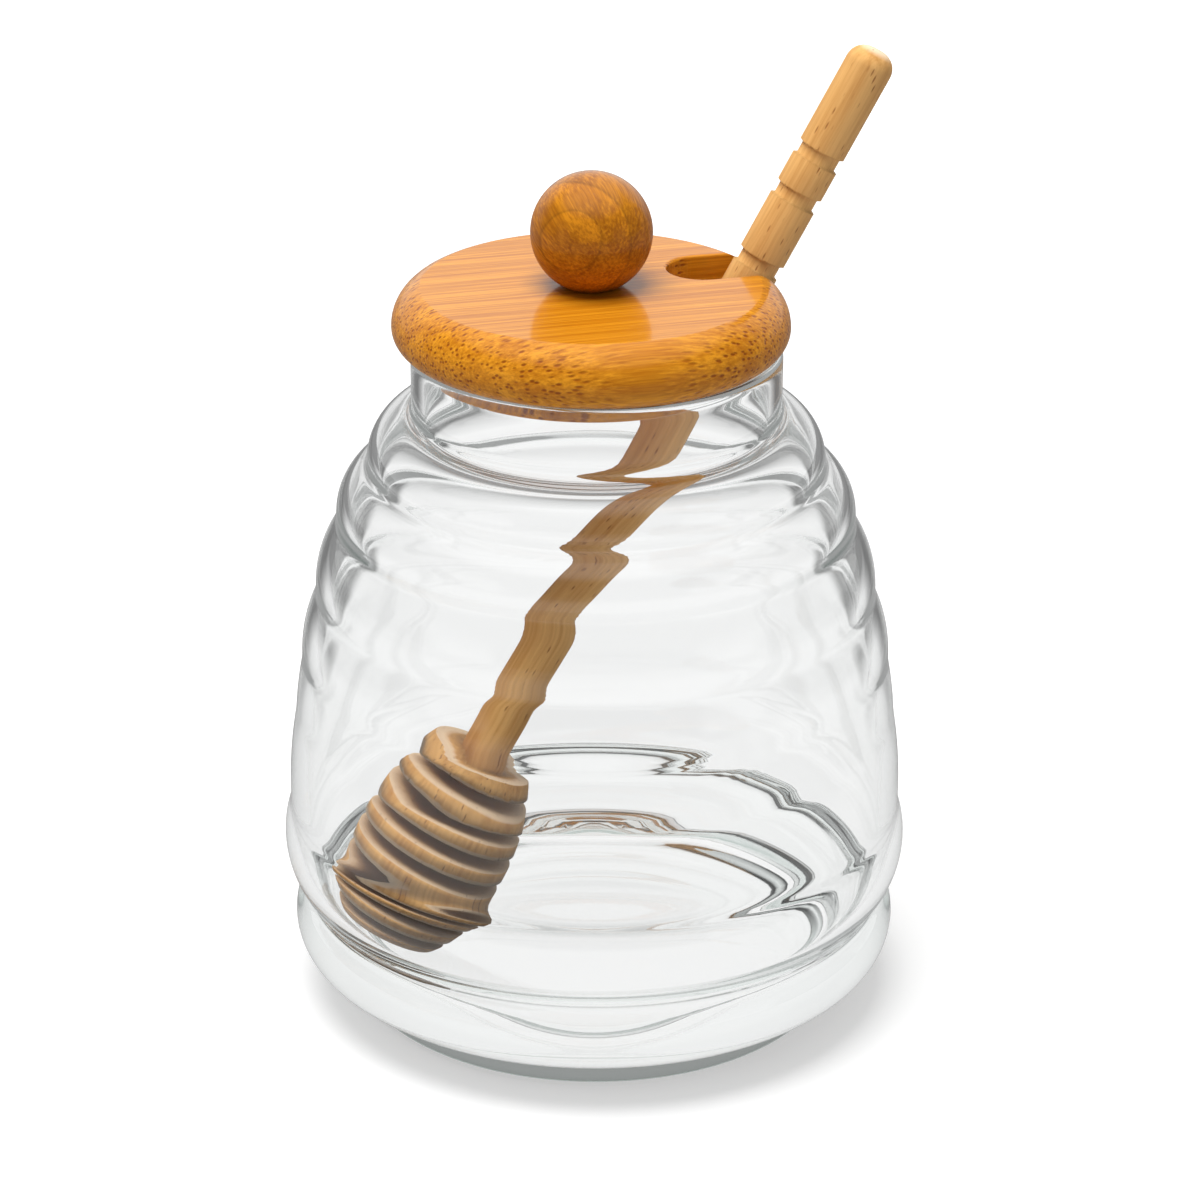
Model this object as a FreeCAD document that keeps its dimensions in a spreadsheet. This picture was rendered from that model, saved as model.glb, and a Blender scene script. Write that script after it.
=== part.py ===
"""Honey dispenser: a ribbed glass jar, a turned lid with a ball knob, and a dipper leaning in its slot.

Millimetres, +Z up. The origin is the middle of the jar's foot, on the plane that it stands on.
"""
import FreeCAD
import Part
import PartDesign
import Sketcher
import math
import os

# name, size in mm (angles in degrees), and what it is
SIZES = [
    # jar, from the foot up
    ("waist_radius", 48.1, "crease at the waist, the widest of the creases"),
    ("foot_inset", 9.6, "outside of the foot ring, inside the waist"),
    ("foot_height", 5.8, "foot ring, from the table to the heel"),
    ("foot_land", 3.2, "width of the flat ring that stands on the table"),
    ("foot_round", 1.6, "rounding of the foot ring's lower edge"),
    ("recess_depth", 1.2, "hollow under the base, at its middle"),
    ("heel_reach", 2.7, "flat under the heel, outside the foot ring"),
    ("heel_rise", 11.7, "height of the heel bead"),
    ("heel_inset", 2.8, "crease above the heel, inside the waist"),
    ("heel_bulge", 4.4, "how far the heel bead stands out of its chord"),
    ("neck_radius", 28.35, "outside of the neck"),
    ("neck_height", 10.2, "neck, from the shoulder to the rim"),
    ("neck_wall", 1.95, "glass at the neck"),
    ("rim_round", 0.8, "rounding of the rim's two edges"),
    ("root_round", 1.5, "hollow rounding where the neck meets the shoulder"),
    ("crease_round", 1.0, "hollow rounding in each crease"),
    ("body_wall", 2.3, "glass in the ribs, whose inside follows their outside"),
    ("crease_wall", 2.6, "glass behind each crease, before its ridge is rounded"),
    ("ridge_round", 2.0, "rounding of the ridges inside, behind the creases"),
    ("floor_thickness", 3.4, "glass under the floor, from the table"),
    ("floor_inset", 18.6, "edge of the flat floor, inside the waist"),
    ("bore_drop", 2.4, "lower end of the bore, under the shoulder"),
    ("bore_round", 2.0, "rounding between bore and shoulder, inside"),
    # lid
    ("lid_overhang", 1.95, "outside of the lid, beyond the neck"),
    ("lid_thickness", 9.5, "lid above the rim"),
    ("lid_edge", 4.5, "width of the rounded edge, round the lid's flat top"),
    ("lid_lower_round", 3.4, "rounding of the lid's lower edge"),
    ("plug_depth", 3.0, "plug below the lid, in the neck"),
    ("plug_gap", 1.3, "clearance of the plug in the bore, all round"),
    ("plug_round", 0.5, "rounding of the plug's lower edge"),
    ("lid_shift", 0.9, "how far the lid has slid to one side in the neck"),
    ("slot_gap", 1.75, "clearance of the stem in the slot, each side"),
    ("slot_depth", 13.2, "how far the slot's end lies inside the bore"),
    ("slot_offset", 3.8, "slot's centre line, beside the lid's centre"),
    ("slot_angle", 15.8, "direction of the slot, from +X towards +Y"),
    ("slot_round", 0.5, "rounding of the slot's upper edges"),
    # knob
    ("knob_radius", 9.25, "ball"),
    ("knob_flat", 0.8, "height of the cap cut off the ball where it sits"),
    # dipper
    ("stem_radius", 3.75, "stem"),
    ("stem_length", 127.6, "stem, from the head to its top end"),
    ("stem_dome", 2.9, "rounding of the top end"),
    ("groove_width", 2.3, "groove round the stem"),
    ("groove_depth", 0.55, "groove round the stem"),
    ("head_radius", 12.4, "widest disc of the head"),
    ("head_swell", 23.4, "half length of the oval that the head is turned to"),
    ("head_middle", 17.2, "height of the oval's middle above the lower end"),
    ("core_radius", 4.0, "core between the discs"),
    ("disc_thickness", 2.5, "disc of the head"),
    ("disc_gap", 2.05, "space between two discs"),
    ("disc_count", 8, "discs"),
    ("disc_round", 0.35, "rounding of a disc's edges"),
    ("touch", 0.2, "clearance where the dipper rests in the jar"),
    ("dipper_side", 0.65, "stem's place in the slot, beside its centre line"),
]
# each ring of the jar above the heel: its height, how far the crease above it has gone from the
# waist to the neck, as a share of the way, and its bulge
RINGS = [
    (14.0, 0.0, 2.3),
    (15.5, 0.056, 0.45),
    (9.0, 0.116, 0.2),
    (10.8, 0.238, 0.46),
    (11.7, 0.415, 1.06),
    (9.6, 0.653, 1.9),
]
SHOULDER = (8.9, 2.3)  # height and bulge of the last ring, which ends at the neck
GROOVES = [17.3, 24.3, 36.0, 43.2]  # upper edge of each groove, below the top of the stem

doc = FreeCAD.newDocument("honey_dispenser")
sheet = doc.addObject("Spreadsheet::Sheet", "sizes")


class Size:
    """A length that carries its number and the spreadsheet expression it comes from."""

    def __init__(self, number, text=None):
        self.number = float(number)
        self.text = text or repr(self.number)

    def join(self, other, sign, number):
        other = as_size(other)
        return Size(number(self.number, other.number), f"({self.text} {sign} {other.text})")

    def __add__(self, other):
        return self.join(other, "+", lambda a, b: a + b)

    def __sub__(self, other):
        return self.join(other, "-", lambda a, b: a - b)

    def __mul__(self, other):
        return self.join(other, "*", lambda a, b: a * b)

    def __truediv__(self, other):
        return self.join(other, "/", lambda a, b: a / b)

    def root(self):
        return Size(math.sqrt(self.number), f"sqrt({self.text})")


def as_size(value):
    return value if isinstance(value, Size) else Size(value)


def fill_sheet():
    """Write every driving size into the sheet and return them by name."""
    rows = list(SIZES)
    for index, (rise, share, bulge) in enumerate(RINGS, 1):
        rows += [
            (f"ring_rise_{index}", rise, "height of this ring"),
            (f"ring_share_{index}", share, "crease above this ring, from the waist to the neck"),
            (f"ring_bulge_{index}", bulge, "how far this ring stands out of its chord"),
        ]
    rows += [
        ("shoulder_rise", SHOULDER[0], "height of the shoulder ring"),
        ("shoulder_bulge", SHOULDER[1], "how far the shoulder stands out of its chord"),
    ]
    rows += [
        (f"groove_drop_{index}", drop, "upper edge of this groove, below the stem's top")
        for index, drop in enumerate(GROOVES, 1)
    ]
    for row, (name, number, meaning) in enumerate(rows, 1):
        sheet.set(f"A{row}", str(number))
        sheet.setAlias(f"A{row}", name)
        sheet.set(f"B{row}", meaning)
    doc.recompute()
    return {name: Size(sheet.get(name), f"sizes.{name}") for name, number, meaning in rows}


size = fill_sheet()
zero = Size(0)


# ---- sketches -------------------------------------------------------------------------------


def new_sketch(body, role, name):
    """A sketch on one of the body's own origin planes."""
    plane = next(item for item in body.Origin.OriginFeatures if item.Role == role)
    sketch = body.newObject("Sketcher::SketchObject", name)
    sketch.AttachmentSupport = [(plane, "")]
    sketch.MapMode = "FlatFace"
    return sketch


def bind(sketch, constraint, value):
    """Add a constraint whose value follows its spreadsheet expression."""
    index = sketch.addConstraint(constraint)
    if value.text.count("sizes."):
        sketch.setExpression(f"Constraints[{index}]", value.text)


def place(sketch, edge, end, point):
    """Fix one end of an edge at a point of two sizes."""
    for kind, value, axis in (("DistanceX", point[0], -2), ("DistanceY", point[1], -1)):
        if abs(value.number) < 1e-9:
            sketch.addConstraint(Sketcher.Constraint("PointOnObject", edge, end, axis))
        else:
            bind(sketch, Sketcher.Constraint(kind, edge, end, value.number), value)


def arc_between(first, last, radius, side):
    """The short arc from first to last. With side 1 it bulges to the right of that direction."""
    chord = last - first
    half = chord.Length / 2
    normal = FreeCAD.Vector(chord.y, -chord.x, 0).normalize()
    rise = math.sqrt(max(radius**2 - half**2, 0))
    centre = (first + last) / 2 - normal * rise * side
    ends = [math.atan2(p.y - centre.y, p.x - centre.x) for p in (first, last)]
    if side < 0:
        ends.reverse()
    circle = Part.Circle(centre, FreeCAD.Vector(0, 0, 1), radius)
    return Part.ArcOfCircle(circle, ends[0], ends[1])


def draw(sketch, corners):
    """Close an outline. A corner is x, y and, for an arc from the corner before, radius and side."""
    first_end = []
    last_end = []
    points = [FreeCAD.Vector(corner[0].number, corner[1].number, 0) for corner in corners]
    for index, corner in enumerate(corners):
        start, stop = points[index - 1], points[index]
        if len(corner) == 2:
            edge = sketch.addGeometry(Part.LineSegment(start, stop), False)
            first_end.append((edge, 1))
            last_end.append((edge, 2))
            continue
        radius, side = corner[2:]
        edge = sketch.addGeometry(arc_between(start, stop, radius.number, side), False)
        if radius.number * 2 - (stop - start).Length < 1e-6:
            # a half circle over an upright chord is held by its centre, which lies on the chord
            bind(sketch, Sketcher.Constraint("DistanceX", edge, 3, stop.x), corner[0])
        else:
            bind(sketch, Sketcher.Constraint("Radius", edge, radius.number), radius)
        first_end.append((edge, 1 if side > 0 else 2))
        last_end.append((edge, 2 if side > 0 else 1))
    for index, corner in enumerate(corners):
        edge, end = last_end[index]
        following = first_end[(index + 1) % len(corners)]
        sketch.addConstraint(Sketcher.Constraint("Coincident", edge, end, *following))
        place(sketch, edge, end, corner[:2])


def bulge_radius(first, last, bulge):
    """Radius of the arc that stands out of the chord between two points by bulge."""
    run, rise = last[0] - first[0], last[1] - first[1]
    return ((run * run + rise * rise) / 4 + bulge * bulge) / (bulge * 2)


# ---- features -------------------------------------------------------------------------------


def new_body(name):
    body = doc.addObject("PartDesign::Body", name)
    body.Label = name
    return body


def turn(body, kind, name, corners):
    """Revolve an outline in the XZ plane about Z, to add or to cut."""
    sketch = new_sketch(body, "XZ_Plane", name + "_outline")
    draw(sketch, corners)
    before = body.Shape.Volume if body.Tip else 0
    feature = body.newObject("PartDesign::" + kind, name)
    feature.Profile = sketch
    feature.ReferenceAxis = (sketch, ["V_Axis"])
    feature.Angle = 360
    sketch.Visibility = False
    doc.recompute()
    changed = body.Shape.Volume - before
    assert changed < 0 if kind == "Groove" else changed > 0, name
    return feature


def ring_edges(shape, rings):
    """Names of the level circular edges about Z that have these radii and heights."""
    names = []
    for index, edge in enumerate(shape.Edges, 1):
        if edge.Degenerated or not isinstance(edge.Curve, Part.Circle):
            continue
        for radius, height in rings:
            close = abs(edge.Curve.Radius - radius.number) < 1e-3
            if close and abs(edge.Curve.Center.z - height.number) < 1e-3:
                names.append(f"Edge{index}")
    return names


def round_off(body, name, names, radius):
    """Fillet the named edges of the body's tip."""
    assert names, name
    base = body.Tip
    feature = body.newObject("PartDesign::Fillet", name)
    feature.Base = (base, names)
    feature.Radius = radius.number
    feature.setExpression("Radius", radius.text)
    body.Tip = feature
    doc.recompute()
    return feature


# ---- jar ------------------------------------------------------------------------------------


def crease_points():
    """Corner points of the ribbed wall, from the heel's crease up to the neck's root."""
    height = size["foot_height"] + size["heel_rise"]
    points = [(size["waist_radius"] - size["heel_inset"], height)]
    taper = size["waist_radius"] - size["neck_radius"]
    for index in range(1, len(RINGS) + 1):
        height = height + size[f"ring_rise_{index}"]
        points.append((size["waist_radius"] - taper * size[f"ring_share_{index}"], height))
    points.append((size["neck_radius"], height + size["shoulder_rise"]))
    return points


creases = crease_points()
shoulder_height = creases[-1][1]
jar_height = shoulder_height + size["neck_height"]
bore_radius = size["neck_radius"] - size["neck_wall"]
bore_end = shoulder_height - size["bore_drop"]
floor_edge = size["waist_radius"] - size["floor_inset"]
foot_radius = size["waist_radius"] - size["foot_inset"]
heel_start = (foot_radius + size["heel_reach"], size["foot_height"])


def upright_radius(waist, point):
    """Radius of the arc that is upright at the waist and goes through the other point."""
    run, rise = waist[0] - point[0], waist[1] - point[1]
    return (run * run + rise * rise) / (run * 2)


def rib_radii():
    """Radius of each outer arc: the heel bead, the rings and the shoulder."""
    bulges = [size["heel_bulge"]]
    bulges += [size[f"ring_bulge_{index}"] for index in range(1, len(RINGS) + 1)]
    bulges += [size["shoulder_bulge"]]
    below = [heel_start] + creases[:-1]
    return [bulge_radius(*ends) for ends in zip(below, creases, bulges)]


def ridge_points():
    """Where the inner arcs meet behind each crease, square to the line between its neighbours."""
    points = []
    for below, point, above in zip([heel_start] + creases, creases, creases[1:]):
        run, rise = above[0] - below[0], above[1] - below[1]
        share = size["crease_wall"] / (run * run + rise * rise).root()
        points.append((point[0] - rise * share, point[1] + run * share))
    return points


ribs = rib_radii()
ridges = ridge_points()


def hollow_outline():
    """Inside of the jar from the bore down to the floor: the ribs again, a wall further in."""
    arcs = [radius - size["body_wall"] for radius in ribs[1:]]
    outline = [(bore_radius, bore_end)]
    outline += [(*point, radius, -1) for point, radius in zip(ridges[::-1], arcs[::-1])]
    # the bowl leaves the floor level and ends at the lowest ridge
    run, rise = ridges[0][0] - floor_edge, ridges[0][1] - size["floor_thickness"]
    bowl = (run * run + rise * rise) / (rise * 2)
    outline += [(floor_edge, size["floor_thickness"], bowl, -1), (zero, size["floor_thickness"])]
    return outline


hollow = hollow_outline()


def make_jar():
    """Outside: foot ring, heel bead, rings, shoulder and neck. Inside: the same rings, softer."""
    body = new_body("jar")
    land_edge = foot_radius - size["foot_round"]
    recess_edge = land_edge - size["foot_land"]
    depth = size["recess_depth"]
    recess_radius = (recess_edge * recess_edge + depth * depth) / (depth * 2)
    outline = [
        (zero, depth),
        (recess_edge, zero, recess_radius, -1),
        (land_edge, zero),
        (foot_radius, size["foot_round"], size["foot_round"], 1),
        (foot_radius, size["foot_height"]),
        heel_start,
    ]
    outline += [(*point, radius, 1) for point, radius in zip(creases, ribs)]
    outline += [(size["neck_radius"], jar_height), (bore_radius, jar_height)]
    turn(body, "Revolution", "jar_wall", outline + hollow)
    round_off(body, "neck_root", ring_edges(body.Shape, creases[-1:]), size["root_round"])
    round_off(body, "creases", ring_edges(body.Shape, creases[:-1]), size["crease_round"])
    round_off(body, "ridges", ring_edges(body.Shape, ridges), size["ridge_round"])
    bore_edge = ring_edges(body.Shape, [(bore_radius, bore_end)])
    round_off(body, "bore_corner", bore_edge, size["bore_round"])
    rim = [(bore_radius, jar_height), (size["neck_radius"], jar_height)]
    round_off(body, "rim", ring_edges(body.Shape, rim), size["rim_round"])
    return body


# ---- lid and knob ---------------------------------------------------------------------------

spare = Size(1)  # how far a cutting outline reaches past what it cuts
lid_radius = size["neck_radius"] + size["lid_overhang"]
lid_top_radius = lid_radius - size["lid_edge"]
plug_radius = bore_radius - size["plug_gap"]
slot_half = size["stem_radius"] + size["slot_gap"]


def make_lid():
    """Turned disc with a plug under it, a slot that runs out through the edge, and a rounded edge."""
    body = new_body("lid")
    top = size["lid_thickness"]
    lower = size["lid_lower_round"]
    blank_radius = lid_radius + spare
    turn(body, "Revolution", "lid_blank", [
        (zero, top),
        (zero, zero - size["plug_depth"]),
        (plug_radius - size["plug_round"], zero - size["plug_depth"]),
        (plug_radius, size["plug_round"] - size["plug_depth"], size["plug_round"], 1),
        (plug_radius, zero),
        (blank_radius, zero),
        (blank_radius, top),
    ])
    round_off(body, "slot_edges", cut_slot(body, blank_radius + spare), size["slot_round"])

    edge_radius = upright_radius((lid_radius, lower), (lid_top_radius, top))
    turn(body, "Groove", "lid_edge", [
        (lid_radius, lower, lower, 1),
        (lid_top_radius, top, edge_radius, 1),
        (lid_top_radius, top + spare),
        (blank_radius + spare, top + spare),
        (blank_radius + spare, zero - spare),
        (lid_radius - lower, zero - spare),
        (lid_radius - lower, zero),
    ])
    turned = FreeCAD.Rotation(FreeCAD.Vector(0, 0, 1), size["slot_angle"].number)
    seat = FreeCAD.Vector(-size["lid_shift"].number, 0, jar_height.number)
    body.Placement = FreeCAD.Placement(seat, turned)
    return body


def cut_slot(body, beyond):
    """Cut the round-ended slot out through the blank's edge and name its upper edges."""
    slot = new_sketch(body, "XY_Plane", "slot_outline")
    left = size["slot_offset"] + slot_half
    right = size["slot_offset"] - slot_half
    end = bore_radius - size["slot_depth"] + slot_half
    draw(slot, [
        (beyond, left),
        (end, left),
        (end, right, slot_half, 1),
        (beyond, right),
    ])
    before = body.Shape.Volume
    cut = body.newObject("PartDesign::Pocket", "slot")
    cut.Profile = slot
    cut.Type = "ThroughAll"
    cut.SideType = "Symmetric"
    slot.Visibility = False
    doc.recompute()
    assert body.Shape.Volume < before - 1, "the slot cut nothing"
    top = size["lid_thickness"].number
    return [
        f"Edge{index}"
        for index, edge in enumerate(body.Shape.Edges, 1)
        if min(abs(vertex.Z - top) for vertex in edge.Vertexes) < 1e-3
        and edge.BoundBox.ZLength < 1e-3
        and edge.BoundBox.YLength < 2 * slot_half.number + 1e-3
    ]


def make_knob():
    """Ball with a small flat, seated on the middle of the lid."""
    body = new_body("knob")
    ball = size["knob_radius"]
    cut = size["knob_flat"]
    flat = (cut * (ball * 2 - cut)).root()
    crown = ball * 2 - cut
    belt = ball - cut
    turn(body, "Revolution", "knob_ball", [
        (zero, zero),
        (flat, zero),
        (ball, belt, ball, 1),
        (zero, crown, ball, 1),
    ])
    on_top = jar_height.number + size["lid_thickness"].number
    body.Placement.Base = FreeCAD.Vector(-size["lid_shift"].number, 0, on_top)
    return body


# ---- dipper ---------------------------------------------------------------------------------

disc_count = int(size["disc_count"].number)
disc_pitch = size["disc_thickness"] + size["disc_gap"]
head_length = disc_pitch * (disc_count - 1) + size["disc_thickness"]
dipper_length = head_length + size["stem_length"]


def head_width(height):
    """Radius of the turned oval of the head at a height above its lower end."""
    share = (height - size["head_middle"]) / size["head_swell"]
    return size["head_radius"] * (Size(1) - share * share).root()


def make_dipper():
    """One turned piece: an oval head cut into discs, and a stem with grooves round it."""
    body = new_body("dipper")
    stem = size["stem_radius"]
    dome = size["stem_dome"]
    lower = head_width(zero)
    upper = head_width(head_length)
    middle = size["head_middle"]
    lower_bow = oval_bow(zero, middle)
    upper_bow = oval_bow(middle, head_length)
    turn(body, "Revolution", "dipper_blank", [
        (zero, dipper_length),
        (zero, zero),
        (lower, zero),
        (size["head_radius"], middle, lower_bow, 1),
        (upper, head_length, upper_bow, 1),
        (stem, head_length),
        (stem, dipper_length - dome),
        (stem - dome, dipper_length, dome, 1),
    ])

    gap = turn(body, "Groove", "disc_gap_cut", [
        (size["core_radius"], size["disc_thickness"]),
        (size["head_radius"] + spare, size["disc_thickness"]),
        (size["head_radius"] + spare, disc_pitch),
        (size["core_radius"], disc_pitch),
    ])
    one_gap = body.Shape.Volume
    gaps = body.newObject("PartDesign::LinearPattern", "disc_gaps")
    gaps.Originals = [gap]
    gaps.Direction = (gap.Profile[0], ["V_Axis"])
    gaps.Mode = "Spacing"
    gaps.Offset = disc_pitch.number
    gaps.setExpression("Offset", disc_pitch.text)
    gaps.Occurrences = disc_count - 1
    gaps.setExpression("Occurrences", "sizes.disc_count - 1")
    body.Tip = gaps
    doc.recompute()
    assert body.Shape.Volume < one_gap, "the pattern cut nothing"

    bottom = stem - size["groove_depth"]
    slant = size["groove_depth"] / 2
    flare = slant / 2  # the sides keep their slant past the stem's surface
    for index in range(1, len(GROOVES) + 1):
        upper_edge = dipper_length - size[f"groove_drop_{index}"]
        lower_edge = upper_edge - size["groove_width"]
        turn(body, "Groove", f"stem_groove_{index}", [
            (bottom, lower_edge + slant),
            (stem + slant, lower_edge - flare),
            (stem + slant, upper_edge + flare),
            (bottom, upper_edge - slant),
        ])
    round_off(body, "disc_edges", disc_rims(body.Shape), size["disc_round"])
    body.Placement = leaning()
    return body


def disc_rims(shape):
    """Names of the edges round the discs, without the smooth join at the oval's middle."""
    names = []
    for index, edge in enumerate(shape.Edges, 1):
        if edge.Degenerated or not isinstance(edge.Curve, Part.Circle):
            continue
        height = edge.Curve.Center.z
        wide = edge.Curve.Radius > size["core_radius"].number + spare.number
        level = abs(edge.Curve.Axis.z) > 0.999
        smooth = abs(height - size["head_middle"].number) < 1e-3
        if wide and level and not smooth and height < head_length.number + 1e-3:
            names.append(f"Edge{index}")
    return names


def oval_bow(low, high):
    """Radius of the arc nearest to the turned oval between two heights."""
    middle = (low + high) / 2
    ends = (head_width(low), low), (head_width(high), high)
    chord = (ends[0][0] + ends[1][0]) / 2
    return bulge_radius(ends[0], ends[1], head_width(middle) - chord)


# ---- how the dipper leans -------------------------------------------------------------------


def inner_wall(height):
    """Radius of the hollow at a height, before its ridges are rounded."""
    for above, corner in zip(hollow, hollow[1:]):
        if corner[1].number <= height <= above[1].number and len(corner) > 2:
            ends = [FreeCAD.Vector(end[0].number, end[1].number, 0) for end in (above, corner)]
            circle = arc_between(*ends, corner[2].number, corner[3])
            reach = math.sqrt(circle.Radius**2 - (height - circle.Center.y) ** 2)
            return circle.Center.x + reach
    return floor_edge.number


def stem_line(lean):
    """Where the stem's axis crosses the rim plane when it leans on the bore, along the slot."""
    sine, cosine = math.sin(lean), math.cos(lean)
    angle = math.radians(size["slot_angle"].number)
    beside = size["slot_offset"].number + size["dipper_side"].number
    beside += size["lid_shift"].number * math.sin(angle)
    reach = bore_radius.number - size["touch"].number
    rim = jar_height.number - size["rim_round"].number
    stem = size["stem_radius"].number
    # the stem's level section is an oval, and its furthest point from the axis touches the bore
    along = min(
        math.sqrt(reach**2 - (beside + stem * math.sin(turned)) ** 2)
        - stem / cosine * math.cos(turned)
        for turned in [math.radians(step) for step in range(0, 90)]
        if beside + stem * math.sin(turned) < reach
    )
    return FreeCAD.Vector(along, beside, rim), FreeCAD.Vector(sine, 0, cosine)


def lower_end(lean):
    """Place and direction of the dipper, along the slot, with its lowest disc just over the floor."""
    point, direction = stem_line(lean)
    foot = head_width(zero).number
    height = size["floor_thickness"].number + size["touch"].number + foot * math.sin(lean)
    return point + direction * ((height - point.z) / direction.z), direction


def wall_gap(lean):
    """Least room between the head's discs and the hollow's wall."""
    end, direction = lower_end(lean)
    outward = FreeCAD.Vector(-direction.z, 0, direction.x)
    room = []
    for step in range(disc_count * 2):
        height = disc_pitch * (step // 2) + (size["disc_thickness"] if step % 2 else zero)
        rim = end + direction * height.number + outward * head_width(height).number
        room.append(inner_wall(rim.z) - math.hypot(rim.x, rim.y))
    return min(room) - size["touch"].number


def leaning():
    """Lean the dipper until its head rests against the wall, its foot on the floor."""
    upright, flat = math.radians(2), math.radians(60)
    for _ in range(50):
        lean = (upright + flat) / 2
        if wall_gap(lean) > 0:
            upright = lean
        else:
            flat = lean
    end, direction = lower_end(upright)
    print("dipper leans", round(math.degrees(upright), 2), "degrees")
    tilt = FreeCAD.Rotation(FreeCAD.Vector(0, 0, 1), direction)
    heading = FreeCAD.Rotation(FreeCAD.Vector(0, 0, 1), size["slot_angle"].number)
    return FreeCAD.Placement(heading.multVec(end), heading.multiply(tilt))


# ---- write ----------------------------------------------------------------------------------

bodies = [make_jar(), make_lid(), make_knob(), make_dipper()]
doc.recompute()
for item in doc.Objects:
    assert not {"Invalid", "Error"} & set(item.State), (item.Name, item.State)
os.makedirs("parts", exist_ok=True)
for body in bodies:
    shape = body.Shape
    assert not shape.isNull() and shape.isValid() and len(shape.Solids) == 1, body.Label
    shape.exportStep(os.path.join("parts", body.Label + ".step"))
    print(body.Label, round(shape.Volume / 1000, 2), "cm3", shape.BoundBox)
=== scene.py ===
from math import cos, pi, radians, sin, sqrt
import bmesh
import bpy
import numpy as np
from mathutils import Matrix, Vector


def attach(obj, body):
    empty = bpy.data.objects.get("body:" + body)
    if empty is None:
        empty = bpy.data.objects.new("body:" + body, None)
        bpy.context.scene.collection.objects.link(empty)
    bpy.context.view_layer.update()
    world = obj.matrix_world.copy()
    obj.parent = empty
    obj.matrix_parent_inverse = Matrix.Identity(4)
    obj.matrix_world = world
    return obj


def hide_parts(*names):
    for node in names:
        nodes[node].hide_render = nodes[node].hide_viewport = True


# A honey dispenser: glass jar, pressed bamboo lid and knob, beech dipper.
# Metres, +Z up, the origin in the middle of the jar's foot. Sizes in the dictionaries are millimetres.

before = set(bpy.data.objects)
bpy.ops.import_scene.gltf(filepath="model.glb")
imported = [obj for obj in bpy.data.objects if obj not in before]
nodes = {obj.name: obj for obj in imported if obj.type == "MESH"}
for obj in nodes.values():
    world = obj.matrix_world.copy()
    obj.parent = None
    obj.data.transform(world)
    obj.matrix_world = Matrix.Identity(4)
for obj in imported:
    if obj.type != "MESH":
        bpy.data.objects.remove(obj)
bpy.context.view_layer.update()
mm = 0.001
print("frame loaded")


def addObject(name, mesh):
    piece = bpy.data.objects.new(name, mesh)
    bpy.context.scene.collection.objects.link(piece)
    return piece


# a profile turned about Z: point (r, z) at angle t becomes (r cos t, r sin t, z),
# and the profile's two ends lie on the axis, where each closes in one point
def turnedMesh(name, profile, around):
    angle = np.arange(around) * 2 * pi / around
    rings = profile[1:-1]
    x = rings[:, 0, None] * np.cos(angle)
    y = rings[:, 0, None] * np.sin(angle)
    z = np.broadcast_to(rings[:, 1, None], x.shape)
    points = np.stack([x, y, z], axis=-1).reshape(-1, 3)
    ends = [[0, 0, profile[0, 1]], [0, 0, profile[-1, 1]]]
    points = np.vstack([points, ends]) * mm
    here = np.arange(around)
    after = (here + 1) % around
    row = np.arange(len(rings) - 1)[:, None] * around
    quads = np.stack([row + here, row + after, row + around + after, row + around + here], axis=-1)
    first, last = len(points) - 2, len(points) - 1
    top = (len(rings) - 1) * around
    bottomCap = np.stack([np.full(around, first), after, here], axis=-1)
    topCap = np.stack([np.full(around, last), top + here, top + after], axis=-1)
    mesh = bpy.data.meshes.new(name)
    faces = quads.reshape(-1, 4).tolist() + bottomCap.tolist() + topCap.tolist()
    mesh.from_pydata(points.tolist(), [], faces)
    mesh.shade_smooth()
    return mesh


# the short arc from one point to the next, centre to the left of travel where side is 1
def arcPoints(start, end, radius, side, step):
    start, end = np.array(start, float), np.array(end, float)
    chord = end - start
    half = np.linalg.norm(chord) / 2
    right = np.array([chord[1], -chord[0]]) / (2 * half)
    centre = (start + end) / 2 - right * sqrt(max(radius**2 - half**2, 0)) * side
    a0 = np.arctan2(*(start - centre)[::-1])
    a1 = np.arctan2(*(end - centre)[::-1])
    sweep = (a1 - a0 + pi) % (2 * pi) - pi
    count = max(int(abs(sweep) * radius / step), 4)
    angle = a0 + sweep * np.linspace(0, 1, count + 1)[1:]
    return centre + radius * np.stack([np.cos(angle), np.sin(angle)], axis=-1)


# even points on the straight line from one point to the next, without the first
def linePoints(start, end, step):
    start, end = np.array(start, float), np.array(end, float)
    count = max(int(np.linalg.norm(end - start) / step), 2)
    share = np.linspace(0, 1, count + 1)[1:, None]
    return start + (end - start) * share


jar = {
    "footRadius": 38.5, "footHeight": 5.8, "footLand": 3.2, "footRound": 1.6, "recess": 1.2,
    "heelReach": 2.7, "heelRise": 11.7, "heelInset": 2.8, "heelBulge": 4.4,
    "waist": 48.1,
    "rings": [(14.0, 0.0, 2.3), (15.5, 0.056, 0.45), (9.0, 0.116, 0.2), (10.8, 0.238, 0.8),
              (11.7, 0.415, 1.25), (9.6, 0.653, 1.9)],  # rise, share of the way to the neck, bulge
    "shoulder": (8.9, 2.3),  # rise and bulge
    "neckRadius": 28.35, "neckHeight": 10.2, "neckWall": 1.95, "boreDrop": 2.4,
    "bodyWall": 2.3, "creaseWall": 2.6, "floor": 3.4, "floorEdge": 32.0,
    "polish": 0.8,  # how softly fire polishing rounds the outside
    "moulding": 0.9,  # how softly the blown inside follows the ribs
    "step": 0.05,  # spacing of the points that the profile is worked out on
    "around": 210, "along": 460,
}


# radius of the arc whose middle stands a bulge out from its chord:
# half the chord squared plus the bulge squared, over twice the bulge
def bulgeRadius(start, end, bulge):
    run, rise = end[0] - start[0], end[1] - start[1]
    return ((run**2 + rise**2) / 4 + bulge**2) / (2 * bulge)


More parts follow.
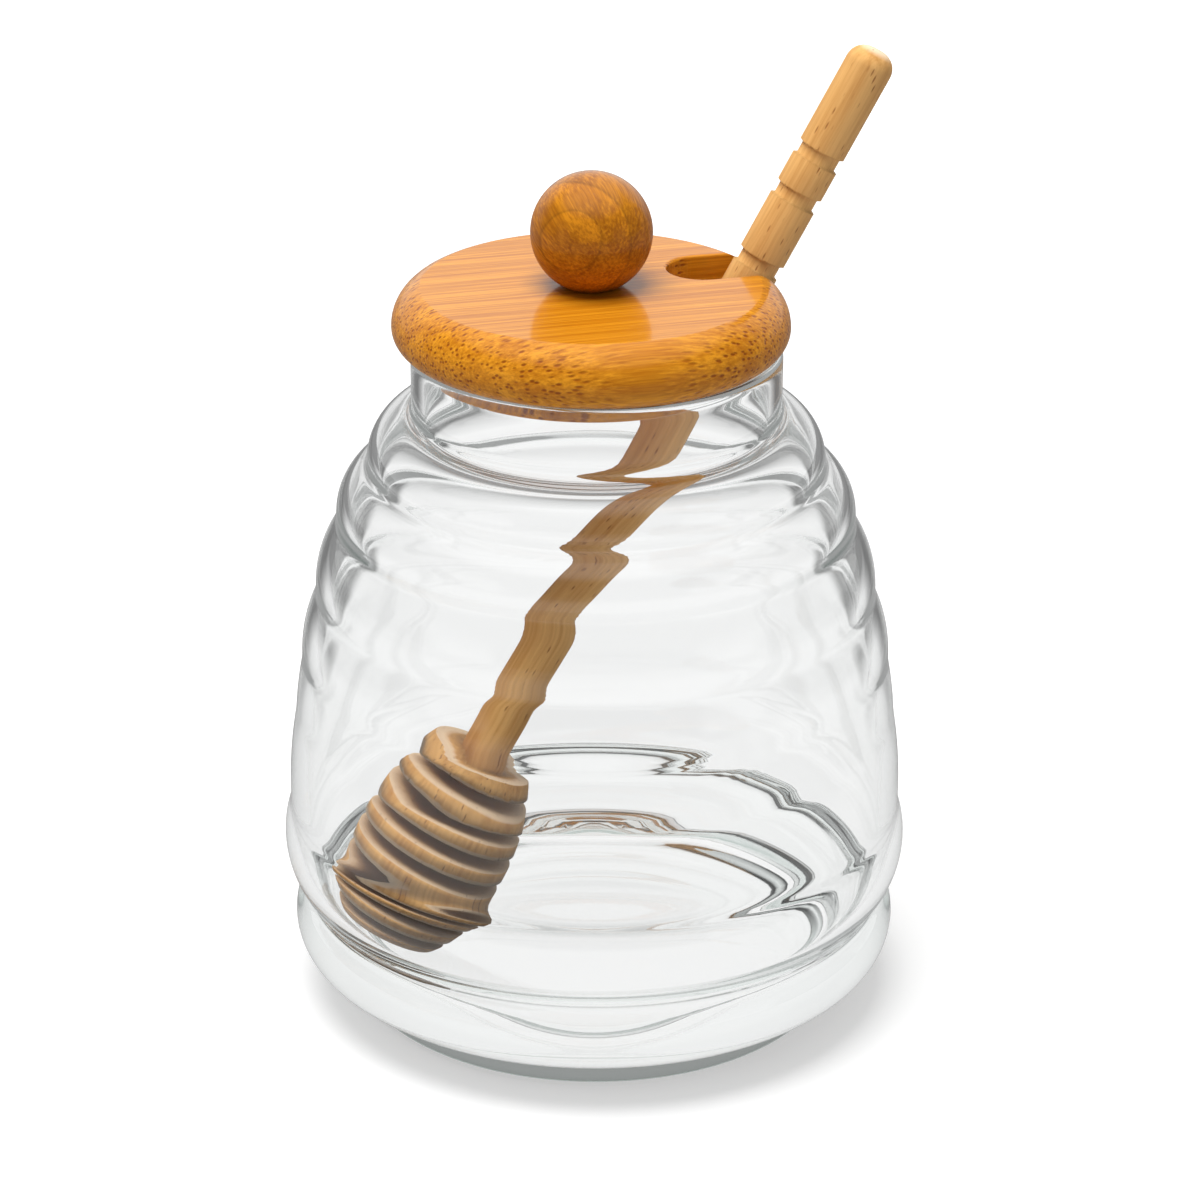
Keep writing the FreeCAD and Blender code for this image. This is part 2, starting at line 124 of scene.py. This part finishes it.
# the creases between the ribs, from the bottom up, with the bulge of the rib under each
def jarCreases():
    height = jar["footHeight"] + jar["heelRise"]
    corners = [((jar["waist"] - jar["heelInset"], height), jar["heelBulge"])]
    taper = jar["waist"] - jar["neckRadius"]
    for rise, share, bulge in jar["rings"]:
        height += rise
        corners.append(((jar["waist"] - taper * share, height), bulge))
    height += jar["shoulder"][0]
    return corners + [((jar["neckRadius"], height), jar["shoulder"][1])]


# outside of the glass, from the middle of the recess up to the rim: one arc for each rib
def jarOutside(corners, step):
    landEdge = jar["footRadius"] - jar["footRound"]
    recessEdge = landEdge - jar["footLand"]
    recessRadius = (recessEdge**2 + jar["recess"]**2) / (2 * jar["recess"])
    footTop = (jar["footRadius"], jar["footHeight"])
    below = (jar["footRadius"] + jar["heelReach"], jar["footHeight"])
    parts = [
        np.array([[0, jar["recess"]]]),
        arcPoints((0, jar["recess"]), (recessEdge, 0), recessRadius, -1, step),
        linePoints((recessEdge, 0), (landEdge, 0), step),
        arcPoints((landEdge, 0), (jar["footRadius"], jar["footRound"]), jar["footRound"], 1, step),
        linePoints((jar["footRadius"], jar["footRound"]), footTop, step),
        linePoints(footTop, below, step),
    ]
    for corner, bulge in corners:
        parts.append(arcPoints(below, corner, bulgeRadius(below, corner, bulge), 1, step))
        below = corner
    parts.append(linePoints(below, (below[0], below[1] + jar["neckHeight"]), step))
    return np.vstack(parts)


# inside of the glass, from the rim down to the middle of the floor: the bore, then each rib's arc
# a wall smaller, meeting behind the creases, then a bowl that runs level into the floor
def jarInside(corners, step):
    bore = jar["neckRadius"] - jar["neckWall"]
    shoulder = corners[-1][0][1]
    starts = [(jar["footRadius"] + jar["heelReach"], jar["footHeight"])] + [corner for corner, _ in corners]
    line = np.array(starts)
    across = line[2:] - line[:-2]
    across = np.stack([-across[:, 1], across[:, 0]], axis=-1) / np.linalg.norm(across, axis=1)[:, None]
    ridges = line[1:-1] + across * jar["creaseWall"]
    radii = [bulgeRadius(low, high, bulge) - jar["bodyWall"]
             for low, (high, bulge) in zip(starts[1:], corners[1:])]
    here = (bore, shoulder - jar["boreDrop"])
    parts = [linePoints((bore, shoulder + jar["neckHeight"]), here, step)]
    for ridge, radius in zip(ridges[::-1], radii[::-1]):
        parts.append(arcPoints(here, ridge, radius, -1, step))
        here = ridge
    run, rise = here[0] - jar["floorEdge"], here[1] - jar["floor"]
    floorEdge = (jar["floorEdge"], jar["floor"])
    parts.append(arcPoints(here, floorEdge, (run**2 + rise**2) / (2 * rise), -1, step))
    parts.append(linePoints(floorEdge, (0, jar["floor"]), step))
    return np.vstack(parts)


# points even along a line, each moved to the mean of those around it, weighted by a bell curve
def softened(points, width, step):
    length = np.concatenate([[0], np.cumsum(np.linalg.norm(np.diff(points, axis=0), axis=1))])
    even = np.arange(0, length[-1], step)
    line = np.stack([np.interp(even, length, points[:, k]) for k in (0, 1)], axis=-1)
    reach = int(4 * width / step)
    bell = np.exp(-0.5 * (np.arange(-reach, reach + 1) * step / width)**2)
    # the line is continued straight beyond both ends, so that they stay where they are
    before = 2 * line[0] - line[reach:0:-1]
    after = 2 * line[-1] - line[-2:-reach - 2:-1]
    padded = np.vstack([before, line, after])
    return np.stack([np.convolve(padded[:, k], bell / bell.sum(), "valid") for k in (0, 1)], axis=-1)


# the profile rounded by fire polishing, with its points closer where it bends more
def polishedProfile(points):
    step = jar["step"]
    smooth = softened(points, jar["polish"], step)
    along = np.gradient(smooth, axis=0)
    heading = np.unwrap(np.arctan2(along[:, 1], along[:, 0]))
    bend = np.abs(np.gradient(heading)) / step
    weight = np.cumsum(0.25 + np.sqrt(np.convolve(bend, np.ones(21) / 21, "same")))
    share = np.linspace(weight[0], weight[-1], jar["along"])
    thin = np.stack([np.interp(share, weight, smooth[:, k]) for k in (0, 1)], axis=-1)
    thin[0, 0] = thin[-1, 0] = 0
    return thin


def makeJar():
    corners, step = jarCreases(), jar["step"]
    outside = jarOutside(corners, step)
    inside = softened(jarInside(corners, step), jar["moulding"], step)
    rim = linePoints(outside[-1], inside[0], step)
    profile = polishedProfile(np.vstack([outside, rim, inside]))
    return addObject("jar_glass", turnedMesh("jar_glass", profile, jar["around"]))


# wooden pieces: each is its CAD solid, merged and shaded smooth between its crisp edges
def smoothCopy(node, name, crisp):
    mesh = nodes[node].data.copy()
    mesh.name = name
    work = bmesh.new()
    work.from_mesh(mesh)
    bmesh.ops.remove_doubles(work, verts=work.verts, dist=1e-6)
    work.to_mesh(mesh)
    work.free()
    mesh.materials.clear()
    mesh.shade_smooth()
    mesh.set_sharp_from_angle(angle=radians(crisp))
    piece = addObject(name, mesh)
    even = piece.modifiers.new("flat faces stay flat", "WEIGHTED_NORMAL")
    even.keep_sharp = True
    return piece


# the node tree of a material or a world, with short ways to add a node and to join it up
class Nodes:
    def __init__(self, owner, kind="Material"):
        self.owner = owner
        owner.use_nodes = True
        self.tree = owner.node_tree
        self.tree.nodes.clear()
        self.output = self.add("Output" + kind)

    def add(self, kind, values=None, **settings):
        node = self.tree.nodes.new("ShaderNode" + kind)
        for key, value in settings.items():
            setattr(node, key, value)
        for key, value in (values or {}).items():
            if isinstance(value, bpy.types.NodeSocket):
                self.tree.links.new(value, node.inputs[key])
            else:
                node.inputs[key].default_value = value
        return node

    def ramp(self, source, stops):
        node = self.add("ValToRGB", {"Fac": source})
        while len(node.color_ramp.elements) < len(stops):
            node.color_ramp.elements.new(0.5)
        for element, (place, color) in zip(node.color_ramp.elements, stops):
            element.position = place
            element.color = (*color, 1) if isinstance(color, tuple) else (*grey(color), 1)
        return node.outputs["Color"]

    def math(self, operation, *values):
        return self.add("Math", dict(enumerate(values)), operation=operation).outputs[0]

    def mix(self, share, first, second, blend="MIX"):
        node = self.add("Mix", data_type="RGBA", blend_type=blend)
        for socket, value in zip((node.inputs[0], node.inputs[6], node.inputs[7]), (share, first, second)):
            if isinstance(value, bpy.types.NodeSocket):
                self.tree.links.new(value, socket)
            else:
                socket.default_value = (*value, 1) if isinstance(value, tuple) and len(value) == 3 else value
        return node.outputs[2]


def grey(value):
    return (value, value, value)


glass = {
    "ior": 1.5,
    "depthColor": (0.46, 0.56, 0.52), "depthDensity": 17.0,
    "shadowFace": 1.0, "shadowEdge": 0.7,  # light let through face on and at the edges
    "shadowBase": 0.5, "baseHeights": (0.010, 0.024),  # and low down, rising to all of it between these heights
    "mostTurns": 10, "mostMirrored": 3,  # after so many turns inside the glass, light leaves it straight
}


def glassMaterial():
    n = Nodes(bpy.data.materials.new("clearGlass"))
    clear = n.add("BsdfPrincipled", {
        "Base Color": (1, 1, 1, 1), "Roughness": 0.0, "IOR": glass["ior"], "Transmission Weight": 1.0,
    })
    # light passes straight through to what stands in the glass, a little weaker at its edges
    facing = n.add("LayerWeight", {"Blend": 0.5}).outputs["Facing"]
    shade = n.ramp(facing, [(0.5, glass["shadowFace"]), (1.0, glass["shadowEdge"])])
    height = n.add("SeparateXYZ", {"Vector": n.add("TexCoord").outputs["Object"]}).outputs["Z"]
    low, high = glass["baseHeights"]
    thin = n.ramp(height, [(low, glass["shadowBase"]), (high, 1)])
    through = n.add("BsdfTransparent", {"Color": n.mix(1.0, shade, thin, "MULTIPLY")})
    path = n.add("LightPath").outputs
    soft = n.math("MAXIMUM", path["Is Shadow Ray"], path["Is Diffuse Ray"])
    both = n.add("MixShader", {0: soft, 1: clear.outputs[0], 2: through.outputs[0]})
    leaving = n.add("BsdfTransparent", {"Color": (1, 1, 1, 1)})
    tired = n.math("MAXIMUM", n.math("GREATER_THAN", path["Ray Depth"], glass["mostTurns"]),
                   n.math("GREATER_THAN", path["Glossy Depth"], glass["mostMirrored"]))
    total = n.add("MixShader", {0: tired, 1: both.outputs[0], 2: leaving.outputs[0]})
    n.tree.links.new(total.outputs[0], n.output.inputs["Surface"])
    depth = n.add("VolumeAbsorption", {
        "Color": (*glass["depthColor"], 1), "Density": glass["depthDensity"],
    })
    n.tree.links.new(depth.outputs[0], n.output.inputs["Volume"])
    return n.owner


bamboo = {
    "grainAngle": 15.8,  # the fibres' heading in the lid, from +X towards +Y
    "lidDark": (0.47, 0.15, 0.003), "lidLight": (0.74, 0.30, 0.014),
    "knobDark": (0.32, 0.10, 0.002), "knobLight": (0.58, 0.215, 0.008),
    "pore": (0.26, 0.06, 0.001),
    # how tightly each pattern repeats along and across the grain, per metre
    "streaks": (32, 2400, 2400), "bands": (7, 420, 420), "poreCells": (260, 1450, 1450),
    "lidPores": 0.85, "knobPores": 0.25,  # how dark the cut ends of the fibres are
    "layerCentre": (-0.0045, 0.0, 0.1235),  # the knob's wood is bent in layers about an axis here
    "layers": [(0.0, 0.92), (0.235, 1.05), (0.25, 0.72), (0.265, 0.92), (0.455, 1.08), (0.47, 0.70),
               (0.485, 0.9), (0.60, 1.0), (0.61, 0.8), (0.625, 1.0)],  # share of 20 mm, and tone
    "layerTurn": (70, 12, 0), "layerWaver": 0.05,  # the turn of that axis in degrees, and its unevenness
    "knobTurn": (35, -65, 20),  # how the knob's grain is turned, in degrees
    "topCoat": 1.0, "sideCoat": 0.3, "coatRoughness": 0.12,
    "relief": 0.0003,
    "lidCrisp": 14, "knobCrisp": 28,  # edges that turn by more than this stay crisp
}


# share of the surface's normal that lies along the grain
def endGrain(n, turn):
    normal = n.add("TexCoord").outputs["Normal"]
    turned = n.add("Mapping", {"Vector": normal, "Rotation": turn}, vector_type="NORMAL").outputs[0]
    along = n.add("SeparateXYZ", {"Vector": turned}).outputs["X"]
    return n.math("MINIMUM", n.math("MULTIPLY", n.math("ABSOLUTE", along), 2.6), 1.0)


# the fibres are a noise stretched along the grain, and the pores are cells stretched the same way:
# along the grain they show as streaks, and where the surface cuts across it as dots
def bambooMaterial(name, dark, light, turn, poreDepth, layered):
    n = Nodes(bpy.data.materials.new(name))
    place = n.add("TexCoord").outputs["Object"]
    turned = n.add("Mapping", {"Vector": place, "Rotation": turn}).outputs[0]
    fibre = n.add("Mapping", {"Vector": turned, "Scale": bamboo["streaks"]}).outputs[0]
    streak = n.add("TexNoise", {"Vector": fibre, "Scale": 1.0, "Detail": 4.0, "Roughness": 0.65}).outputs[0]
    broad = n.add("Mapping", {"Vector": turned, "Scale": bamboo["bands"]}).outputs[0]
    band = n.add("TexNoise", {"Vector": broad, "Scale": 1.0, "Detail": 2.0}).outputs[0]
    tone = n.math("ADD", n.math("MULTIPLY", streak, 0.65), n.math("MULTIPLY", band, 0.35))
    middle = tuple((a + b) / 2 for a, b in zip(dark, light))
    wood = n.ramp(tone, [(0.40, dark), (0.52, middle), (0.60, light)])
    cells = n.add("Mapping", {"Vector": turned, "Scale": bamboo["poreCells"]}).outputs[0]
    pores = n.add("TexVoronoi", {"Vector": cells, "Scale": 1.0, "Randomness": 0.9})
    hole = n.ramp(pores.outputs["Distance"], [(0.18, 1), (0.40, 0)])
    across = endGrain(n, turn)
    shown = n.math("MULTIPLY", hole, n.math("ADD", n.math("MULTIPLY", across, poreDepth), 0.10))
    color = n.mix(shown, wood, bamboo["pore"])
    if layered:
        axis = tuple(radians(angle) for angle in bamboo["layerTurn"])
        centred = n.add("Mapping", {"Vector": place, "Location": bamboo["layerCentre"], "Rotation": axis},
                        vector_type="TEXTURE").outputs[0]
        flat = n.add("Mapping", {"Vector": centred, "Scale": (50, 50, 0)}).outputs[0]
        wavy = n.add("TexNoise", {"Vector": place, "Scale": 160.0, "Detail": 1.0}).outputs[0]
        distance = n.add("VectorMath", {0: flat}, operation="LENGTH").outputs["Value"]
        radius = n.math("ADD", distance, n.math("MULTIPLY", wavy, bamboo["layerWaver"]))
        color = n.mix(1.0, color, n.ramp(radius, bamboo["layers"]), "MULTIPLY")
    height = n.math("SUBTRACT", n.math("MULTIPLY", streak, 0.3), shown)
    bump = n.add("Bump", {"Height": height, "Strength": 0.3, "Distance": bamboo["relief"]})
    sheen = n.add("Bump", {"Height": height, "Strength": 0.06, "Distance": bamboo["relief"]})
    # the lacquer is full on the flat top and thin where it ran off the rounded sides
    up = n.add("SeparateXYZ", {"Vector": n.add("TexCoord").outputs["Normal"]}).outputs["Z"]
    polish = n.ramp(up, [(0.3, bamboo["sideCoat"]), (0.99, bamboo["topCoat"])])
    skin = n.add("BsdfPrincipled", {
        "Base Color": color, "Roughness": 0.5, "Normal": bump.outputs[0], "Specular IOR Level": 0.15,
        "Coat Weight": polish, "Coat Roughness": bamboo["coatRoughness"],
        "Coat Normal": sheen.outputs[0],
    })
    n.tree.links.new(skin.outputs[0], n.output.inputs["Surface"])
    return n.owner


beech = {
    "lean": 29.38, "heading": 15.8,  # of the dipper, from upright and from +X towards +Y
    "dark": (0.55, 0.26, 0.072), "light": (0.76, 0.43, 0.150), "fleck": (0.28, 0.09, 0.02),
    # painted shade: the colour the wood is multiplied by deep in its crevices
    "paintedCreviceShade": (0.46, 0.33, 0.21),
    "endGrain": (0.94, 0.76, 0.55),  # the paler faces across the fibres
    # how tightly each pattern repeats across and along the fibres, per metre
    "streaks": (1700, 1700, 70), "bands": (260, 260, 18), "fleckCells": (1500, 1500, 300),
    # how far the painted crevice shade looks for nearby wood, in metres
    "relief": 0.0002, "paintedShadeReach": 0.006,
    "crisp": 28,
}


# pale fibres along the dipper with short brown flecks, each a long thin cell, and painted shade deep in its
# crevices
def beechMaterial():
    n = Nodes(bpy.data.materials.new("beech"))
    lean, heading = beech["lean"], beech["heading"]
    spots = n.add("TexCoord").outputs
    level = n.add("VectorRotate", {"Vector": spots["Object"], "Angle": -radians(heading)},
                  rotation_type="Z_AXIS").outputs[0]
    upright = n.add("VectorRotate", {"Vector": level, "Angle": -radians(lean)},
                    rotation_type="Y_AXIS").outputs[0]
    fibre = n.add("Mapping", {"Vector": upright, "Scale": beech["streaks"]}).outputs[0]
    streak = n.add("TexNoise", {"Vector": fibre, "Scale": 1.0, "Detail": 4.0, "Roughness": 0.6}).outputs[0]
    broad = n.add("Mapping", {"Vector": upright, "Scale": beech["bands"]}).outputs[0]
    band = n.add("TexNoise", {"Vector": broad, "Scale": 1.0, "Detail": 2.0}).outputs[0]
    tone = n.math("ADD", n.math("MULTIPLY", streak, 0.5), n.math("MULTIPLY", band, 0.5))
    wood = n.ramp(tone, [(0.38, beech["dark"]), (0.62, beech["light"])])
    # the discs' faces and the top end cut across the fibres and are paler
    facing = n.add("VectorRotate", {"Vector": spots["Normal"], "Angle": -radians(heading)},
                   rotation_type="Z_AXIS").outputs[0]
    facing = n.add("VectorRotate", {"Vector": facing, "Angle": -radians(lean)},
                   rotation_type="Y_AXIS").outputs[0]
    across = n.math("ABSOLUTE", n.add("SeparateXYZ", {"Vector": facing}).outputs["Z"])
    pale = n.mix(n.ramp(across, [(0.7, 0), (0.95, 0.8)]), wood, beech["endGrain"])
    cells = n.add("Mapping", {"Vector": upright, "Scale": beech["fleckCells"]}).outputs[0]
    flecks = n.add("TexVoronoi", {"Vector": cells, "Scale": 1.0, "Randomness": 1.0})
    spot = n.ramp(flecks.outputs["Distance"], [(0.12, 1), (0.26, 0)])
    chosen = n.ramp(n.add("SeparateXYZ", {"Vector": flecks.outputs["Color"]}).outputs["X"],
                    [(0.45, 0), (0.55, 0.75)])
    shown = n.math("MULTIPLY", spot, chosen)
    # painted shade: the wood's colour is darkened deep between the discs and in the stem's grooves, where
    # ambient occlusion finds little open space around it
    openness = n.add("AmbientOcclusion", {"Distance": beech["paintedShadeReach"]},
                     samples=8, only_local=True).outputs["AO"]
    paintedCreviceShade = n.ramp(openness, [(0.25, beech["paintedCreviceShade"]), (0.8, 1)])
    color = n.mix(1.0, n.mix(shown, pale, beech["fleck"]), paintedCreviceShade, "MULTIPLY")
    height = n.math("SUBTRACT", n.math("MULTIPLY", streak, 0.5), shown)
    bump = n.add("Bump", {"Height": height, "Strength": 0.3, "Distance": beech["relief"]})
    skin = n.add("BsdfPrincipled", {
        "Base Color": color, "Roughness": 0.6, "Normal": bump.outputs[0], "Specular IOR Level": 0.3,
    })
    n.tree.links.new(skin.outputs[0], n.output.inputs["Surface"])
    return n.owner


def finish(piece, node, material):
    piece.data.materials.append(material)
    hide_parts(node)
    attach(piece, "root")


jarGlass = makeJar()
finish(jarGlass, "jar", glassMaterial())
print("jar made")

lidTurn = (0, 0, -radians(bamboo["grainAngle"]))
lidWood = smoothCopy("lid", "lid_bamboo", bamboo["lidCrisp"])
finish(lidWood, "lid",
       bambooMaterial("bamboo", bamboo["lidDark"], bamboo["lidLight"], lidTurn, bamboo["lidPores"], False))
knobTurn = tuple(radians(angle) for angle in bamboo["knobTurn"])
knobWood = smoothCopy("knob", "knob_bamboo", bamboo["knobCrisp"])
finish(knobWood, "knob",
       bambooMaterial("darkBamboo", bamboo["knobDark"], bamboo["knobLight"], knobTurn,
                      bamboo["knobPores"], True))
dipperWood = smoothCopy("dipper", "dipper_beech", beech["crisp"])
finish(dipperWood, "dipper", beechMaterial())
print("wood made")

# the stage: a pale floor and a pale world with a lamp above; glass and gloss see the floor's glow
# near the jar, a white sky behind it and overhead, and a dark one in front and at the sides
stage = {
    "floorSize": 6.0, "floorColor": 0.7,
    "floorLift": [(0.25, 0.40), (0.70, 1.0)],  # glow of the floor for the eye, over what lights it
    # its glow seen through glass falls off outwards, by metres and level, and mirrored it is plain
    "floorThrough": [(0.24, 1.0), (0.45, 0.25)], "floorMirrored": 0.38,
    # two dark strips stand behind to the left and right, and glass shows them as lines near its sides
    "strips": [(0.072, 0.0), (0.085, 1.0), (0.19, 1.0), (0.24, 0.0)], "stripSpread": [(0.72, 0.0), (0.84, 1.0)],
    "stripLevel": 0.12,
    "worldLevel": 0.32,
    "skyBack": [(0.30, 0.05), (0.60, 0.8)], "skyTop": [(0.62, 0.05), (0.80, 1.0)],
    "skySides": [(0.62, 0.0), (0.68, 0.6), (0.90, 0.6), (0.95, 0.0)],
    "skySidesRise": [(0.05, 1.0), (0.50, 0.0)],
    "lampPlace": (-0.12, -0.1, 0.95), "lampAim": (0, 0, 0.05), "lampPower": 10.8, "lampSize": 0.7,
}


# light is scattered by the matt floor, and the glow fades outwards
def makeFloor():
    half = stage["floorSize"] / 2
    corners = [(-half, -half, -1e-4), (half, -half, -1e-4), (half, half, -1e-4), (-half, half, -1e-4)]
    mesh = bpy.data.meshes.new("floor")
    mesh.from_pydata(corners, [], [(0, 1, 2, 3)])
    floor = addObject("floor", mesh)
    n = Nodes(bpy.data.materials.new("paleFloor"))
    matt = n.add("BsdfDiffuse", {"Color": (*grey(stage["floorColor"]), 1)})
    place = n.add("TexCoord").outputs["Object"]
    distance = n.add("VectorMath", {0: place}, operation="LENGTH").outputs["Value"]
    glow = n.ramp(distance, stage["floorLift"])
    lift = n.add("Emission", {"Color": glow, "Strength": 1.0})
    path = n.add("LightPath").outputs
    eye = n.add("MixShader", {0: path["Is Camera Ray"], 2: lift.outputs[0]})
    lit = n.add("AddShader", {0: matt.outputs[0], 1: eye.outputs[0]})
    fade = n.ramp(distance, stage["floorThrough"])
    side = n.add("SeparateXYZ", {0: place}).outputs
    aside = n.math("ABSOLUTE", side["X"])
    strips = n.ramp(aside, stage["strips"])
    behind = n.ramp(n.math("DIVIDE", side["Y"], distance), stage["stripSpread"])
    dark = n.mix(n.math("MULTIPLY", strips, behind), fade, grey(stage["stripLevel"]))
    through = n.add("Emission", {"Color": dark, "Strength": 1.0})
    mirrored = n.add("Emission", {"Color": (1, 1, 1, 1), "Strength": stage["floorMirrored"]})
    sharp = n.add("MixShader", {0: path["Is Transmission Ray"], 1: mirrored.outputs[0], 2: through.outputs[0]})
    seen = n.math("MAXIMUM", path["Is Glossy Ray"], path["Is Transmission Ray"])
    total = n.add("MixShader", {0: seen, 1: lit.outputs[0], 2: sharp.outputs[0]})
    n.tree.links.new(total.outputs[0], n.output.inputs["Surface"])
    mesh.materials.append(n.owner)


# white for the eye, plain for light, and zoned for glass and gloss
def makeWorld():
    world = bpy.data.worlds.new("paleWorld")
    bpy.context.scene.world = world
    n = Nodes(world, "World")
    heading = n.add("SeparateXYZ", {0: n.add("TexCoord").outputs["Generated"]}).outputs
    back = n.ramp(heading["Y"], stage["skyBack"])
    top = n.ramp(heading["Z"], stage["skyTop"])
    aside = n.ramp(n.math("ABSOLUTE", heading["X"]), stage["skySides"])
    rise = n.ramp(heading["Z"], stage["skySidesRise"])
    sides = n.mix(1.0, aside, rise, "MULTIPLY")
    zoned = n.add("Background", {"Color": n.mix(1.0, n.mix(1.0, back, top, "LIGHTEN"), sides, "LIGHTEN")})
    plain = n.add("Background", {"Color": (1, 1, 1, 1), "Strength": stage["worldLevel"]})
    white = n.add("Background", {"Color": (1, 1, 1, 1)})
    path = n.add("LightPath").outputs
    seen = n.math("MAXIMUM", path["Is Glossy Ray"], path["Is Transmission Ray"])
    unseen = n.add("MixShader", {0: seen, 1: plain.outputs[0], 2: zoned.outputs[0]})
    total = n.add("MixShader", {0: path["Is Camera Ray"], 1: unseen.outputs[0], 2: white.outputs[0]})
    n.tree.links.new(total.outputs[0], n.output.inputs["Surface"])


def makeLight(name, place, aim, size, power):
    lamp = bpy.data.lights.new(name, "AREA")
    lamp.shape = "DISK"
    lamp.size = size
    lamp.energy = power
    light = bpy.data.objects.new(name, lamp)
    light.location = place
    light.rotation_euler = (Vector(aim) - Vector(place)).to_track_quat("-Z", "Y").to_euler()
    bpy.context.scene.collection.objects.link(light)
    light.visible_camera = False
    light.visible_glossy = False
    light.visible_transmission = False


makeFloor()
makeWorld()
makeLight("overhead", stage["lampPlace"], stage["lampAim"], stage["lampSize"], stage["lampPower"])
print("stage made")

view = {
    "aim": (0.0007, 0.0, 0.0649), "distance": 0.6396, "pitch": 23.5, "roll": 0.35,
    "lens": 123.0, "sensor": 36.0,
}


def makeCamera():
    lens = bpy.data.cameras.new("camera")
    lens.lens = view["lens"]
    lens.sensor_width = view["sensor"]
    lens.clip_start = 0.01
    camera = bpy.data.objects.new("camera", lens)
    pitch = radians(view["pitch"])
    aim = Vector(view["aim"])
    camera.location = aim + view["distance"] * Vector((0, -cos(pitch), sin(pitch)))
    look = (aim - camera.location).to_track_quat("-Z", "Y").to_matrix()
    camera.rotation_euler = (look @ Matrix.Rotation(radians(view["roll"]), 3, "Z")).to_euler()
    bpy.context.scene.collection.objects.link(camera)
    bpy.context.scene.camera = camera


makeCamera()
bpy.context.scene.view_settings.view_transform = "Standard"
